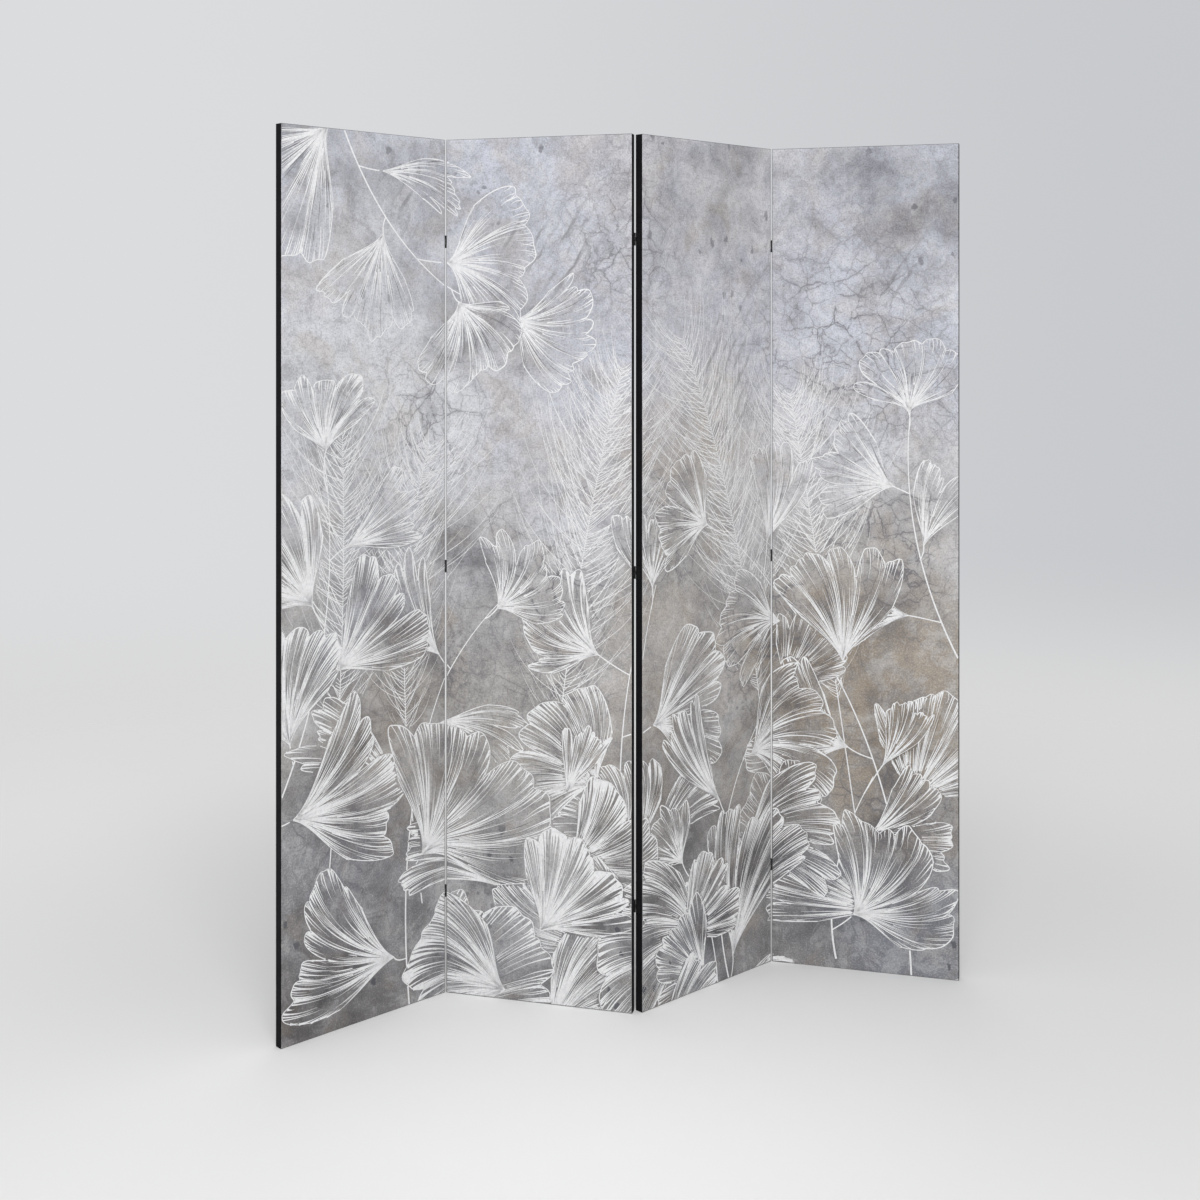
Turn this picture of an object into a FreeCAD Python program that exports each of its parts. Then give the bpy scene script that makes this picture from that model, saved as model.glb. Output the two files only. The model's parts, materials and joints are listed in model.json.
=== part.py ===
import FreeCAD, Part
import math
import os

# A folding screen of four canvas-covered panels on butt hinges. All lengths are in millimetres.
#
# A panel is drawn in its own frame: u along its width from 0, v from its printed face at 0 to its back,
# and z up from the floor. The standing screen has its front towards -Y and is the same left and right of X = 0.
# A hinge is drawn on a left-hand panel whose face folds inwards: its pin is on the Z axis, and v points
# from the pin into the panel's thickness.

# The standing screen
screen_height = 1775.0
panel_width = 400.0
fold_bend_deg = 60.0

# Cloth
canvas_thickness = 0.5
canvas_turn_in = 25.0
backing_thickness = 0.5
backing_setback = 1.0

# Stretcher bars
bar_depth = 17.0
bar_width = 38.0
bar_lip = 5.0
bar_bevel_drop = 2.0
tongue_thickness = 6.0
tongue_margin = 6.0
wood_clearance = 0.1

# Cross rails
cross_rail_width = 38.0
cross_rail_setback = 1.0
cross_rail_shares = (1 / 3, 2 / 3)
tenon_length = 14.0
tenon_shoulder = 5.0

# Staples
staple_spacing = 220.0
staple_end_margin = 60.0
staple_inset = 12.0
staple_crown = 10.0
staple_wire_thickness = 0.5
staple_wire_width = 1.2
staple_leg = 6.0

# Hinges
hinge_inset = 212.0
leaf_height = 26.0
leaf_depth = 12.0
leaf_thickness = 0.6
knuckle_count = 3
knuckle_axial_gap = 0.2
knuckle_side_clearance = 0.1
knuckle_notch_clearance = 0.3
bore_sides = 12
pin_radius = 0.8
pin_standoff = 0.3
pin_proud = 0.3
pin_press = 0.01
pin_running_clearance = 0.03

# Screws
screw_spacing = 15.0
screw_inset = 7.0
screw_length = 12.0
screw_shank_radius = 1.1
screw_tip = 2.5
screw_clearance = 0.05
screw_sides = 8

# How far a cutting shape runs past what it cuts
overrun = 5.0

# Worked out from the values above
skin = backing_thickness + canvas_thickness
bar_front = canvas_thickness
bar_rear = bar_front + bar_depth
bar_middle = (bar_front + bar_rear) / 2
canvas_rear = bar_rear + canvas_thickness
panel_thickness = canvas_rear + backing_thickness
frame_right = panel_width - skin
frame_top = screen_height - skin
stile_length = frame_top - skin
rail_length = frame_right - skin
cross_rail_levels = [share * screen_height for share in cross_rail_shares]
hinge_levels = (hinge_inset, screen_height / 2, screen_height - hinge_inset)
knuckle_radius = pin_radius + leaf_thickness
fold_gap = 2 * (knuckle_radius + knuckle_side_clearance)
half_bend = math.radians(fold_bend_deg) / 2

PANELS = ("panel_1", "panel_2", "panel_3", "panel_4")
FOLDS = ("fold_1", "fold_2", "fold_3")
FOLD_CLOSES = ("faces", "backs", "faces")
ALONG_U = FreeCAD.Vector(1, 0, 0)
ALONG_V = FreeCAD.Vector(0, 1, 0)
ALONG_Z = FreeCAD.Vector(0, 0, 1)
ORIGIN = FreeCAD.Vector(0, 0, 0)


def box(low, high):
    """The block between two corners."""
    size = [b - a for a, b in zip(low, high)]
    return Part.makeBox(size[0], size[1], size[2], FreeCAD.Vector(*low))


def prism(points, along):
    """A closed outline, pushed along a vector."""
    corners = [FreeCAD.Vector(*point) for point in points]
    outline = Part.makePolygon(corners + corners[:1])
    return Part.Face(outline).extrude(along)


def moved(shape, u=0.0, v=0.0, z=0.0):
    copy = shape.copy()
    copy.translate(FreeCAD.Vector(u, v, z))
    return copy


def quarter_turned(shape, quarters, corner):
    """Turns a shape in the plane of the panel, clockwise seen from the front, and carries it to a corner."""
    copy = shape.copy()
    copy.rotate(ORIGIN, ALONG_V, 90 * quarters)
    return moved(copy, u=corner[0], z=corner[1])


def tongue(grow=0.0):
    """The tongue at the start of a stretcher bar, or the room for it."""
    half_thickness = tongue_thickness / 2 + grow
    low = (tongue_margin - grow, bar_middle - half_thickness, tongue_margin - grow)
    high = (bar_width - tongue_margin + grow, bar_middle + half_thickness, bar_width + grow)
    return box(low, high)


def mitre_cutter():
    """The corner that a mitre takes off the start of a bar."""
    past = bar_width + overrun
    points = [(-overrun, -overrun, -overrun), (past, -overrun, -overrun), (past, -overrun, past)]
    return prism(points, ALONG_V * (panel_thickness + 2 * overrun))


def stretcher_bar(length):
    """A bar that starts at z = 0 with its outer edge at u = 0: a tongue at its start, a slot at its end."""
    section = [
        (0, bar_front, 0),
        (bar_lip, bar_front, 0),
        (bar_width, bar_front + bar_bevel_drop, 0),
        (bar_width, bar_rear, 0),
        (0, bar_rear, 0),
    ]
    bar = prism(section, ALONG_Z * length)
    start_mitre = mitre_cutter()
    end_mitre = moved(start_mitre.mirror(ORIGIN, ALONG_Z), z=length)
    slot = quarter_turned(tongue(wood_clearance), 1, (0, length))
    return bar.cut([start_mitre, end_mitre, slot]).fuse(tongue()).removeSplitter()


def round_the_frame(along_stile, along_rail):
    """Carries what lies along the bars to the four sides of a panel, clockwise from the lower left."""
    left_stile = [quarter_turned(one, 0, (skin, skin)) for one in along_stile]
    top_rail = [quarter_turned(one, 1, (skin, frame_top)) for one in along_rail]
    right_stile = [quarter_turned(one, 2, (frame_right, frame_top)) for one in along_stile]
    bottom_rail = [quarter_turned(one, 3, (frame_right, skin)) for one in along_rail]
    return left_stile, top_rail, right_stile, bottom_rail


def tenon_pair(level, grow=0.0):
    """The two tenons of a cross rail as one bar across the panel, or the room for them."""
    half_thickness = tongue_thickness / 2 + grow
    half_width = cross_rail_width / 2 - tenon_shoulder + grow
    end = skin + bar_width - tenon_length - grow
    low = (end, bar_middle - half_thickness, level - half_width)
    high = (panel_width - end, bar_middle + half_thickness, level + half_width)
    return box(low, high)


def cross_rail(level):
    """A rail between the stiles, set back from the canvas, with a stub tenon at each end."""
    shoulder = skin + bar_width
    front = bar_front + bar_bevel_drop + cross_rail_setback
    low = (shoulder, front, level - cross_rail_width / 2)
    high = (panel_width - shoulder, bar_rear, level + cross_rail_width / 2)
    return box(low, high).fuse(tenon_pair(level)).removeSplitter()


def wooden_frame():
    """The bars and cross rails of one panel."""
    sides = round_the_frame([stretcher_bar(stile_length)], [stretcher_bar(rail_length)])
    mortises = [tenon_pair(level, wood_clearance) for level in cross_rail_levels]
    left_stile, top_rail, right_stile, bottom_rail = [side[0] for side in sides]
    lower_cross_rail, upper_cross_rail = [cross_rail(level) for level in cross_rail_levels]
    return {
        "left_stile": left_stile.cut(mortises),
        "right_stile": right_stile.cut(mortises),
        "top_rail": top_rail,
        "bottom_rail": bottom_rail,
        "lower_cross_rail": lower_cross_rail,
        "upper_cross_rail": upper_cross_rail,
    }


def front_canvas():
    """The printed sheet, stretched over the face, round the sides and in behind the bars."""
    side = backing_thickness
    wrapped = box((side, 0, side), (panel_width - side, canvas_rear, screen_height - side))
    inside = box((skin, bar_front, skin), (frame_right, bar_rear, frame_top))
    edge = skin + canvas_turn_in
    window = box((edge, bar_middle, edge), (panel_width - edge, canvas_rear + overrun, screen_height - edge))
    return wrapped.cut([inside, window])


def backing_cloth():
    """The black cloth over the back, turned round the sides nearly to the printed face."""
    side = backing_thickness
    wrapped = box((0, backing_setback, 0), (panel_width, panel_thickness, screen_height))
    inside = box((side, -overrun, side), (panel_width - side, canvas_rear, screen_height - side))
    return wrapped.cut(inside)


def staple():
    """A staple at the start of a bar, driven in from the back, with its crown along the bar."""
    half = staple_crown / 2
    wire = staple_wire_thickness
    leg_end = canvas_rear - staple_leg
    left = staple_inset - staple_wire_width / 2
    points = [
        (left, canvas_rear, -half),
        (left, canvas_rear, half),
        (left, leg_end, half),
        (left, leg_end, half - wire),
        (left, canvas_rear - wire, half - wire),
        (left, canvas_rear - wire, wire - half),
        (left, leg_end, wire - half),
        (left, leg_end, -half),
    ]
    return prism(points, ALONG_U * staple_wire_width)


def staple_row(length):
    """The staples along one bar."""
    run = length - 2 * staple_end_margin
    steps = max(1, round(run / staple_spacing))
    return [moved(staple(), z=staple_end_margin + run * step / steps) for step in range(steps + 1)]


def canvas_staples():
    """The staples that hold the canvas's turned-in edge, all round a panel."""
    sides = round_the_frame(staple_row(stile_length), staple_row(rail_length))
    return [one for side in sides for one in side]


def flat_sided_ring(radius, sides, height):
    """A regular outline across the Z axis, its corners at a radius."""
    turns = [2 * math.pi * side / sides for side in range(sides)]
    corners = [FreeCAD.Vector(radius * math.cos(turn), radius * math.sin(turn), height) for turn in turns]
    return Part.makePolygon(corners + corners[:1])


def screw(grow=0.0):
    """A countersunk screw that points along +Z, with the top of its head at 0, or the room for it."""
    shank = screw_shank_radius + grow
    head = shank + leaf_thickness
    outlines = [
        flat_sided_ring(head, screw_sides, 0),
        flat_sided_ring(shank, screw_sides, leaf_thickness),
        flat_sided_ring(shank, screw_sides, screw_length - screw_tip),
        Part.Vertex(0, 0, screw_length),
    ]
    return Part.makeLoft(outlines, True, True)


def leaf_screws(grow=0.0):
    """The two screws of a leaf."""
    lying = screw(grow)
    lying.rotate(ORIGIN, ALONG_V, -90)
    head_u = leaf_thickness - fold_gap / 2
    return [moved(lying, head_u, screw_inset, side * screw_spacing / 2) for side in (-1, 1)]


def bore(flat_radius):
    """The room for the pin, with flats at a radius."""
    corner_radius = flat_radius / math.cos(math.pi / bore_sides)
    outline = flat_sided_ring(corner_radius, bore_sides, -leaf_height / 2)
    return Part.Face(outline).extrude(ALONG_Z * leaf_height)


def hinge_leaf(has_outer_knuckles, bore_radius):
    """A leaf whose own knuckles alternate with the notches for the other leaf's."""
    pitch = leaf_height / knuckle_count
    half_gap = knuckle_axial_gap / 2
    plate_u = -fold_gap / 2
    plate = box((plate_u, 0, -leaf_height / 2), (plate_u + leaf_thickness, leaf_depth, leaf_height / 2))
    notch_v = knuckle_radius + knuckle_notch_clearance
    knuckles = []
    notches = []
    for stretch in range(knuckle_count):
        low_z = stretch * pitch - leaf_height / 2
        if (stretch % 2 == 0) == has_outer_knuckles:
            base = FreeCAD.Vector(0, 0, low_z + half_gap)
            knuckles.append(Part.makeCylinder(knuckle_radius, pitch - knuckle_axial_gap, base))
        else:
            low = (plate_u - overrun, -overrun, low_z - half_gap)
            high = (plate_u + overrun, notch_v, low_z + pitch + half_gap)
            notches.append(box(low, high))
    body = plate.cut(notches).fuse(knuckles)
    return body.cut([bore(bore_radius)] + leaf_screws(screw_clearance)).removeSplitter()


def hinge_pin():
    """A pin through all the knuckles, riveted over at both ends."""
    half_length = (leaf_height - knuckle_axial_gap) / 2 + pin_proud
    return Part.makeCylinder(pin_radius, 2 * half_length, FreeCAD.Vector(0, 0, -half_length))


def fold_axis(edge, closes):
    """Where a pin stands in a panel's frame: past its left or right edge, before its face or behind its back."""
    u = -fold_gap / 2 if edge == "left" else panel_width + fold_gap / 2
    v = -pin_standoff if closes == "faces" else panel_thickness + pin_standoff
    return u, v


def on_edge(shapes, edge, closes):
    """Carries the shapes of one hinge to an edge of a panel, at every hinge level."""
    u, v = fold_axis(edge, closes)
    carried = []
    for shape in shapes:
        copy = shape.copy()
        if edge == "left":
            copy = copy.mirror(ORIGIN, ALONG_U)
        if closes == "backs":
            copy = copy.mirror(ORIGIN, ALONG_V)
        carried += [moved(copy, u, v, level) for level in hinge_levels]
    return Part.makeCompound(carried)


def placed(point, place):
    """A point of a panel's own frame, where it stands."""
    turn, origin = place
    u, v = point
    x = origin[0] + u * math.cos(turn) - v * math.sin(turn)
    y = origin[1] + u * math.sin(turn) + v * math.cos(turn)
    return x, y


def place_for(turn, point, target):
    """A panel's turn about Z and its own frame's place, so that a point of it lands on a target."""
    x, y = placed(point, (turn, (0, 0)))
    return turn, (target[0] - x, target[1] - y)


def panel_places():
    """Where the four panels stand, with the middle fold on X = 0 and their depths centred on Y = 0."""
    middle_fold = (0, 0)
    second = place_for(-half_bend, fold_axis("right", "backs"), middle_fold)
    third = place_for(half_bend, fold_axis("left", "backs"), middle_fold)
    first_fold = placed(fold_axis("left", "faces"), second)
    third_fold = placed(fold_axis("right", "faces"), third)
    first = place_for(half_bend, fold_axis("right", "faces"), first_fold)
    fourth = place_for(-half_bend, fold_axis("left", "faces"), third_fold)
    places = (first, second, third, fourth)
    corners = [(u, v) for u in (0, panel_width) for v in (0, panel_thickness)]
    depths = [placed(corner, place)[1] for place in places for corner in corners]
    middle_y = (min(depths) + max(depths)) / 2
    return [(turn, (x, y - middle_y)) for turn, (x, y) in places]


def standing(shape, place):
    """A shape of a panel's own frame, where it stands."""
    turn, (x, y) = place
    copy = shape.copy()
    copy.rotate(ORIGIN, ALONG_Z, math.degrees(turn))
    return moved(copy, x, y)


def panel_parts():
    """Everything on one panel but its hinges. All four panels are alike."""
    parts = wooden_frame()
    parts["front_canvas"] = front_canvas()
    parts["backing_cloth"] = backing_cloth()
    parts["canvas_staples"] = Part.makeCompound(canvas_staples())
    return parts


def fold_parts(closes, left_place, right_place):
    """The hinges of one fold. Their pins are fast in the leaves of the left-hand panel."""
    left_leaf = hinge_leaf(True, pin_radius - pin_press)
    right_leaf = hinge_leaf(False, pin_radius + pin_running_clearance)
    return {
        "left_leaves": standing(on_edge([left_leaf], "right", closes), left_place),
        "pins": standing(on_edge([hinge_pin()], "right", closes), left_place),
        "left_screws": standing(on_edge(leaf_screws(), "right", closes), left_place),
        "right_leaves": standing(on_edge([right_leaf], "left", closes), right_place),
        "right_screws": standing(on_edge(leaf_screws(), "left", closes), right_place),
    }


def screen_parts():
    """Every node of the screen by its name, where it stands."""
    places = panel_places()
    nodes = {}
    for panel, place in zip(PANELS, places):
        for part, shape in panel_parts().items():
            nodes[panel + "_" + part] = standing(shape, place)
    for fold, closes, left_place, right_place in zip(FOLDS, FOLD_CLOSES, places, places[1:]):
        for part, shape in fold_parts(closes, left_place, right_place).items():
            nodes[fold + "_" + part] = shape
        x, y = placed(fold_axis("right", closes), left_place)
        print(fold, "turns about x", round(x, 4), "y", round(y, 4))
    return nodes


os.makedirs("parts", exist_ok=True)
for node, shape in screen_parts().items():
    shape.exportStep("parts/" + node + ".step")
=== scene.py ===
import json
import math
from collections import namedtuple

import bmesh
import bpy
import numpy as np
from mathutils import Matrix, Vector
from mathutils.geometry import tessellate_polygon


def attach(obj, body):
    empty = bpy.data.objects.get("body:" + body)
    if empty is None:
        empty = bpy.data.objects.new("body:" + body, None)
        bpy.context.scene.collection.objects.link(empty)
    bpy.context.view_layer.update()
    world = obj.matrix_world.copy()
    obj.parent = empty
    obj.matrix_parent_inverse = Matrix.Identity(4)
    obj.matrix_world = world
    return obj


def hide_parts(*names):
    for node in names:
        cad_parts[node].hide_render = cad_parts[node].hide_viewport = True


# The looks of a folding screen of four canvas-covered panels. Lengths are in metres.
#
# Each panel is dressed in its own frame: s along the width, v from the printed face towards the back, and z
# up from the floor. s runs on from panel to panel, so the print and its ground carry on across the folds.

# Cloth
CLOTH_THICKNESS = 0.0005
CLOTH_SETBACK = 0.001
CLOTH_STOP = 0.0003
CLOTH_END_ROUND = 0.0003
CLOTH_END_LEAN = 0.0002
CLOTH_END_REACH = 0.00045
TURN_IN = 0.025
ARRIS_RADIUS = 0.0008
ROUND_STEPS = 4
BAR_WIDTH = 0.038
BACK_SAG = 0.0016
SAG_REACH = 0.035
FACE_STEP = 0.012
CANVAS_SIDE_STEP = 0.006
CLOTH_SIDE_STEP = 0.004
TURN_IN_STEP = 0.008
CANVAS_THREAD = 0.0011
CLOTH_THREAD = 0.0014

# Print
INK_LIFT = 0.0001
INK_STEP = 0.00002
INK_LEVELS = 4
PRINT_SEED = 23
LONGEST_DASH = 0.009
HEAVIEST = 1.7
STEM_PLACES = 90
STEM_POINTS = 500
STEM_WIDTH = 0.0042
STALK_WIDTH = 0.0026
PLUME_WIDTH = 0.0028
BARB_SPACING = 0.006
BARB_STEP = 0.011
BARE_SHARE = 0.3
STALK_LENGTHS = (0.03, 0.08)
WIDEST_VEINS = 0.0058
CLOSEST_VEINS = 0.0028
CLOSER_BY_WEIGHT = 0.0022
SHORTEST_VEIN = 0.012
THIN_WIDTHS = (0.0009, 0.0016)
SHADE_WIDTHS = (0.0008, 0.0016)
BORDER_WIDTHS = (0.003, 0.0012, 0.0014, 0.0008)
RIM_WIDTH = 0.0013
RIM_SWELL = 0.0017
RIM_STEP = 0.0035
HAIR_END = 0.0002
FAINT_END = 0.0003

# Hinges
HINGE_INSET = 0.212
LEAF_HEIGHT = 0.026
LEAF_DEPTH = 0.012
LEAF_THICKNESS = 0.0006
LEAF_CORNER = 0.002
KNUCKLES = 3
KNUCKLE_GAP = 0.0002
KNUCKLE_CLEARANCE = 0.0001
KNUCKLE_NOTCH = 0.0003
KNUCKLE_CHAMFER = 0.0002
KNUCKLE_SIDES = 28
PIN_RADIUS = 0.0008
PIN_PROUD = 0.0003
PIN_SLACK = 0.00003
PIN_SIDES = 20
SCREW_SPACING = 0.015
SCREW_INSET = 0.007
SCREW_LENGTH = 0.012
SCREW_SHANK = 0.0011
SCREW_CORE = 0.0008
SCREW_PITCH = 0.0009
SCREW_TIP = 0.0025
SCREW_POINT = 0.0002
SCREW_SIDES = 16
HOLE_SLACK = 0.00005
RECESS_REACH = 0.0010
RECESS_WIDTH = 0.0004
RECESS_DEPTH = 0.0004
SHARP_EDGE = math.radians(35)
KNUCKLE_PITCH = LEAF_HEIGHT / KNUCKLES
SCREW_HEAD = SCREW_SHANK + LEAF_THICKNESS
SCREW_LEVELS = (-SCREW_SPACING / 2, SCREW_SPACING / 2)
HINGE_PARTS = ("left_leaves", "pins", "left_screws", "right_leaves", "right_screws")

# Camera, from the photograph's vanishing lines
CAMERA_PLACE = (-0.8806, -3.3542, 1.3660)
CAMERA_YAW_DEG = 13.904
CAMERA_LENS = 50.0
CAMERA_RISE = -0.2197

# Set
FLOOR_RADIUS = 14.0
FLOOR_SOLID_RADIUS = 1.3
FLOOR_FADE_RADIUS = 3.9
AMBIENT_LIGHT = 0.56


def smoothstep(x, low, high):
    t = np.clip((x - low) / (high - low), 0, 1)
    return t * t * (3 - 2 * t)


# The panels' places


class Panel:
    """A panel's body, its place along the print and the frame that it is dressed in."""

    def __init__(self, name, turn, place_in_row):
        self.name = name
        cloth = frame["nodes"][name + "_backing_cloth"].data.vertices
        unturn = Matrix.Rotation(-turn, 3, "Z")
        corners = np.array([unturn @ vertex.co for vertex in cloth])
        low, high = corners.min(0), corners.max(0)
        self.width = float(high[0] - low[0])
        self.height = float(high[2])
        self.depth = float(high[1] - low[1]) + CLOTH_SETBACK
        self.start = place_in_row * self.width
        self.end = self.start + self.width
        origin = Matrix.Translation((low[0] - self.start, low[1] - CLOTH_SETBACK, 0))
        self.frame = Matrix.Rotation(turn, 4, "Z") @ origin

    def flat_size(self, turned_over):
        """The size laid flat of a sheet over the panel that is turned over on all four sides."""
        return (self.width + 2 * turned_over, self.height + 2 * turned_over)


def new_object(name, data):
    obj = bpy.data.objects.new(name, data)
    bpy.context.scene.collection.objects.link(obj)
    return obj


def piece(name, panel, points, faces, material, smooth=True, flat=None):
    """A mesh in a panel's frame that rides on its body. flat is its points laid flat, for a texture map."""
    mesh = bpy.data.meshes.new(name)
    mesh.from_pydata(points, [], faces)
    mesh.polygons.foreach_set("use_smooth", [smooth] * len(mesh.polygons))
    mesh.materials.append(material)
    mesh.update()
    if flat is not None:
        flat = np.array(flat, float)
        low, high = flat.min(0), flat.max(0)
        corners = [corner.vertex_index for corner in mesh.loops]
        texture_map = mesh.uv_layers.new(name="OFBake")
        texture_map.uv.foreach_set("vector", ((flat - low) / (high - low))[corners].ravel())
    obj = new_object(name, mesh)
    obj.matrix_world = panel.frame
    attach(obj, panel.name)
    return obj


# Cloth that wraps a panel


def evenly(low, high, step):
    return np.linspace(low, high, max(1, round((high - low) / step)) + 1)


def wrapped_sheet(panel, side, profile):
    """Points, faces and the points laid flat of a sheet that is turned round the four sides of a rectangle.

    profile lists (outset from the flat part, v) from the flat part's edge on. The corners are rounded.
    """
    reach = max(outset for outset, _ in profile)
    inset = side + reach
    s_lines = evenly(panel.start + inset, panel.end - inset, FACE_STEP)
    z_lines = evenly(inset, panel.height - inset, FACE_STEP)
    flat_v = profile[0][1]
    points = [(s, flat_v, z) for z in z_lines for s in s_lines]
    flat = [(s, z) for s, _, z in points]
    columns, rows = len(s_lines), len(z_lines)
    grid = np.arange(columns * rows).reshape(rows, columns)
    faces = [(a, a + 1, a + columns + 1, a + columns) for a in grid[:-1, :-1].ravel().tolist()]
    edge = rim_of_grid(grid)
    ring = [index for index, _ in edge]
    length = 0.0
    for before, here in zip(profile[:-1], profile[1:]):
        outset, v = here
        length += math.dist(before, here)
        start = len(points)
        for index, way in edge:
            s, _, z = points[index]
            points.append((s + way[0] * outset, v, z + way[1] * outset))
            flat.append((s + way[0] * length, z + way[1] * length))
        outer = list(range(start, len(points)))
        for here in range(len(edge)):
            there = (here + 1) % len(edge)
            corners = [ring[here], outer[here], outer[there], ring[there]]
            faces.append(tuple(dict.fromkeys(corners)))
        ring = outer
    return points, faces, flat


def rim_of_grid(grid):
    """The grid's outer points, anticlockwise from the front, with the ways out, fanned at the corners."""
    outlines = (grid[0], grid[:, -1], grid[-1, ::-1], grid[::-1, 0])
    sides = list(zip((outline.tolist() for outline in outlines), ((0, -1), (1, 0), (0, 1), (-1, 0))))
    edge = []
    for number, (indices, way) in enumerate(sides):
        edge += [(index, way) for index in indices]
        next_way = sides[(number + 1) % 4][1]
        for step in range(1, ROUND_STEPS):
            turn = math.pi / 2 * step / ROUND_STEPS
            fanned = [a * math.cos(turn) + b * math.sin(turn) for a, b in zip(way, next_way)]
            edge.append((indices[-1], tuple(fanned)))
    return edge


def quarter_round(outset, v, rising=True):
    """Profile points round an arris, outwards from the flat part or back in behind the panel."""
    turns = [math.pi / 2 * step / ROUND_STEPS for step in range(ROUND_STEPS + 1)]
    sweeps = [(ARRIS_RADIUS * math.sin(turn), ARRIS_RADIUS * (1 - math.cos(turn))) for turn in turns]
    if rising:
        return [(outset + long, v + short) for long, short in sweeps]
    return [(outset - short, v + long) for long, short in sweeps]


def folded_over(stop, step):
    """Profile points round the first arris and straight on down the side."""
    return quarter_round(0, 0) + [(ARRIS_RADIUS, v) for v in evenly(ARRIS_RADIUS, stop, step)[1:]]


def write_values(obj, name, values):
    """Keeps a value at each point of a piece, for its material to read."""
    attribute = obj.data.attributes.new(name, "FLOAT", "POINT")
    attribute.data.foreach_set("value", values)


def front_canvas(panel, fans, material):
    """The printed sheet: over the face, round the sides under the black cloth, and in behind the bars."""
    rear = panel.depth - CLOTH_THICKNESS
    profile = folded_over(rear - ARRIS_RADIUS, CANVAS_SIDE_STEP)
    profile += quarter_round(ARRIS_RADIUS, rear - ARRIS_RADIUS, rising=False)[1:]
    profile += [(-turn_in, rear) for turn_in in evenly(0, TURN_IN, TURN_IN_STEP)[1:]]
    points, faces, flat = wrapped_sheet(panel, CLOTH_THICKNESS, profile)
    obj = piece(panel.name + "_canvas", panel, points, faces, material, flat=flat)
    write_values(obj, "shade", shade_at(points, fans))
    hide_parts(panel.name + "_front_canvas")
    return obj


def backing_cloth(panel, material):
    """The black cloth: over the back, where it sinks between the bars, and round the sides."""
    stop = panel.depth - CLOTH_STOP
    profile = folded_over(stop - CLOTH_END_ROUND, CLOTH_SIDE_STEP)
    profile += [(ARRIS_RADIUS - CLOTH_END_LEAN, stop), (ARRIS_RADIUS - CLOTH_END_REACH, stop)]
    points, faces, flat = wrapped_sheet(panel, 0, [(outset, panel.depth - v) for outset, v in profile])
    sags = [back_sag(panel, s, z) if v > panel.depth - 1e-6 else None for s, v, z in points]
    points = [(s, v - (sag or 0), z) for (s, v, z), sag in zip(points, sags)]
    faces = [tuple(reversed(face)) for face in faces]
    obj = piece(panel.name + "_black_cloth", panel, points, faces, material, flat=flat)
    write_values(obj, "rubbed", [0.0 if sag is None else 1 - sag / BACK_SAG for sag in sags])
    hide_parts(panel.name + "_backing_cloth")
    return obj


def back_sag(panel, s, z):
    """How far the cloth sinks at a place on the back, between the bars and the cross rails."""
    rails = [panel.height / 3, panel.height * 2 / 3]
    off_sides = min(s - panel.start, panel.end - s, z, panel.height - z) - BAR_WIDTH
    off_rails = min(abs(z - rail) for rail in rails) - BAR_WIDTH / 2
    clear = max(0.0, min(off_sides, off_rails))
    return BACK_SAG * float(smoothstep(clear, 0, SAG_REACH))


# Hinges


class Solid:
    """Points and faces of one piece, added to bit by bit."""

    def __init__(self):
        self.points = []
        self.faces = []

    def add(self, points, faces):
        start = len(self.points)
        self.points += points
        self.faces += [tuple(start + index for index in face) for face in faces]

    def plate(self, outer, holes, place, thickness):
        """A flat plate. Each hole has an outline in the front face and one in the back face."""
        fronts = [outer] + [front for front, _ in holes]
        backs = [outer] + [back for _, back in holes]
        points = []
        faces = []
        for loops, depth in ((fronts, 0.0), (backs, thickness)):
            start = len(points)
            points += [place(a, b, depth) for loop in loops for a, b in loop]
            triangles = tessellate_polygon([[Vector((a, b, 0)) for a, b in loop] for loop in loops])
            faces += [tuple(start + index for index in triangle) for triangle in triangles]
        count = len(points) // 2
        start = 0
        for loop in fronts:
            size = len(loop)
            for here in range(size):
                a = start + here
                b = start + (here + 1) % size
                faces.append((a, b, count + b, count + a))
            start += size
        self.add(points, faces)

    def turned(self, profile, place, sides, middle=(0.0, 0.0), closed=False):
        """A shape of revolution round middle. place takes a point across and along the axis."""
        points = []
        for radius, along in profile:
            points += [place(x, y, along) for x, y in circle(radius, *middle, sides)]
        faces = []
        rings = len(profile)
        for ring in range(rings if closed else rings - 1):
            after = (ring + 1) % rings
            for side in range(sides):
                beside = (side + 1) % sides
                here, there = ring * sides, after * sides
                faces.append((here + side, here + beside, there + beside, there + side))
        if not closed:
            faces.append(tuple(range(sides)))
            faces.append(tuple((rings - 1) * sides + side for side in range(sides)))
        self.add(points, faces)


def circle(radius, a=0.0, b=0.0, sides=20):
    turns = [2 * math.pi * side / sides for side in range(sides)]
    return [(a + radius * math.cos(turn), b + radius * math.sin(turn)) for turn in turns]


def cross(reach, width, a, b):
    """A cross-shaped outline."""
    half = width / 2
    quarter = [(half, half), (half, reach), (-half, reach)]
    points = []
    for _ in range(4):
        points += [(a + x, b + y) for x, y in quarter]
        quarter = [(-y, x) for x, y in quarter]
    return points


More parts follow.
